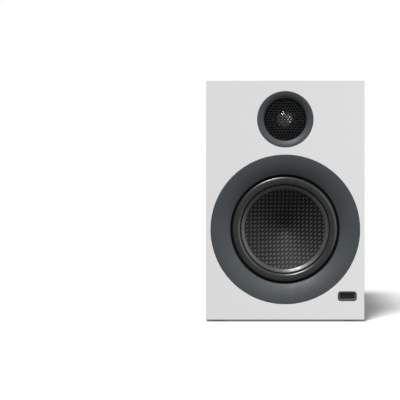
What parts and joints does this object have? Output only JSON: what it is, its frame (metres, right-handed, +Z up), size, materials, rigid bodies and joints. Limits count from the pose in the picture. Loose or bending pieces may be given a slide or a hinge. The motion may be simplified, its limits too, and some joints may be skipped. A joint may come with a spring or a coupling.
{
  "type": "bookshelf speaker",
  "caption": "Powered bookshelf speaker: a white box with a dished ring round a woven cone, a grilled dome tweeter, a status window, a rear port and an amplifier plate.",
  "frame": {"origin": "on the plane the feet stand on, below the centre of the overall box", "axes": "+Z up; -Y out of the front baffle, so the drivers face -Y and the amplifier plate faces +Y; +X to the right as seen from the front"},
  "size_m": [0.178, 0.234, 0.2715],
  "materials": {
    "white_lacquer": "matte white lacquer on fibreboard",
    "raw_fibreboard": "raw fibreboard",
    "foot_rubber": "matte",
    "wadding": "fibrous",
    "slate_plastic": "satin slate grey",
    "driver_steel": "satin black",
    "surround_rubber": "satin",
    "woven_fibre": "woven glass fibre, glossy",
    "coil_former": "bare foil",
    "copper_wire": "enamelled",
    "spider_cloth": "resin-dipped cloth",
    "magnet_ferrite": "dark grey",
    "plated_steel": "zinc plated",
    "screw_black": "black oxide",
    "grille_steel": "satin black perforated",
    "dome_metal": "dark anodised, glossy",
    "black_plastic": "fine-grained black",
    "bezel_plastic": "satin grey",
    "window_plastic": "dark, see-through to infrared",
    "board_green": "solder-masked board",
    "plate_metal": "powder-coated black",
    "nickel": "nickel plated",
    "red_plastic": "glossy red",
    "gloss_black": "glossy black",
    "jack_white": "white",
    "sink_aluminium": "extruded",
    "transformer_iron": "lacquered laminations",
    "can_sleeve": "dark blue sleeve",
    "cable_jacket": "flexible jacket"
  },
  "bodies": {
    "cabinet": {"front_baffle": "white_lacquer", "rear_panel": "white_lacquer", "top_panel": "white_lacquer", "bottom_panel": "white_lacquer", "left_side_panel": "white_lacquer", "right_side_panel": "white_lacquer", "window_brace": "raw_fibreboard", "rubber_feet": "foot_rubber", "damping_pads": "wadding", "woofer_trim_ring": "slate_plastic", "woofer_basket": "driver_steel", "woofer_surround": "surround_rubber", "woofer_spider": "spider_cloth", "woofer_top_plate": "plated_steel", "woofer_magnet": "magnet_ferrite", "woofer_yoke": "plated_steel", "woofer_screws": "screw_black", "tweeter_trim_ring": "slate_plastic", "tweeter_grille": "grille_steel", "tweeter_chassis": "black_plastic", "tweeter_dome_surround": "surround_rubber", "tweeter_top_plate": "plated_steel", "tweeter_magnet": "magnet_ferrite", "tweeter_yoke": "plated_steel", "tweeter_screws": "screw_black", "driver_terminals": "black_plastic", "driver_cables": "cable_jacket", "status_window_bezel": "bezel_plastic", "status_window_lens": "window_plastic", "status_light_board": "board_green", "reflex_port": "black_plastic", "amplifier_plate": "plate_metal", "amplifier_plate_screws": "screw_black", "volume_control": "nickel", "source_switch": "board_green", "power_switch_body": "black_plastic", "mains_inlet": "black_plastic", "mains_inlet_pins": "nickel", "line_jack_shells": "nickel", "line_jack_insulators": "jack_white", "aux_jack": "black_plastic", "post_collars": "black_plastic", "binding_posts": "nickel", "amplifier_board": "board_green", "heat_sink": "sink_aluminium", "power_transformer": "transformer_iron", "board_capacitors": "can_sleeve"},
    "woofer_moving_assembly": {"woofer_cone": "woven_fibre", "woofer_coil_former": "coil_former", "woofer_voice_coil": "copper_wire"},
    "tweeter_moving_assembly": {"tweeter_dome": "dome_metal", "tweeter_voice_coil": "copper_wire"},
    "volume_knob_and_shaft": {"volume_knob": "black_plastic", "volume_shaft": "plated_steel"},
    "power_rocker": {"power_rocker": "gloss_black"},
    "source_button": {"source_button": "black_plastic"},
    "positive_washer": {"positive_post_washer": "nickel"},
    "positive_cap": {"positive_post_cap": "red_plastic"},
    "negative_washer": {"negative_post_washer": "nickel"},
    "negative_cap": {"negative_post_cap": "gloss_black"}
  },
  "joints": [
    {"name": "woofer_excursion", "type": "slide", "parent": "cabinet", "child": "woofer_moving_assembly", "axis": [0, -1, 0], "range_m": [-0.004, 0.004], "stiffness_N_per_m": 1000, "deforming": ["woofer_surround", "woofer_spider"]},
    {"name": "tweeter_excursion", "type": "slide", "parent": "cabinet", "child": "tweeter_moving_assembly", "axis": [0, -1, 0], "range_m": [-0.0003, 0.0003], "stiffness_N_per_m": 1500, "deforming": ["tweeter_dome_surround"]},
    {"name": "volume_turn", "type": "hinge", "parent": "cabinet", "child": "volume_knob_and_shaft", "pos_m": [0.034, 0.104, 0.151], "axis": [0, 1, 0], "range_deg": [-150, 150]},
    {"name": "power_rock", "type": "hinge", "parent": "cabinet", "child": "power_rocker", "pos_m": [0.036, 0.0975, 0.045], "axis": [1, 0, 0], "range_deg": [0, 16]},
    {"name": "source_press", "type": "slide", "parent": "cabinet", "child": "source_button", "axis": [0, -1, 0], "range_m": [0, 0.001], "stiffness_N_per_m": 400},
    {"name": "positive_post_washer_slide", "type": "slide", "parent": "cabinet", "child": "positive_washer", "axis": [0, 1, 0], "range_m": [0, 0.004]},
    {"name": "positive_post_cap_turn", "type": "hinge", "parent": "positive_washer", "child": "positive_cap", "pos_m": [-0.0095, 0.11, 0.105], "axis": [0, 1, 0], "range_deg": [0, 1800]},
    {"name": "negative_post_washer_slide", "type": "slide", "parent": "cabinet", "child": "negative_washer", "axis": [0, 1, 0], "range_m": [0, 0.004]},
    {"name": "negative_post_cap_turn", "type": "hinge", "parent": "negative_washer", "child": "negative_cap", "pos_m": [0.0095, 0.11, 0.105], "axis": [0, 1, 0], "range_deg": [0, 1800]}
  ],
  "couplings": [
    {"joint": "positive_post_cap_turn", "follows": "positive_post_washer_slide", "rad_per_m": 7854},
    {"joint": "negative_post_cap_turn", "follows": "negative_post_washer_slide", "rad_per_m": 7854}
  ]
}
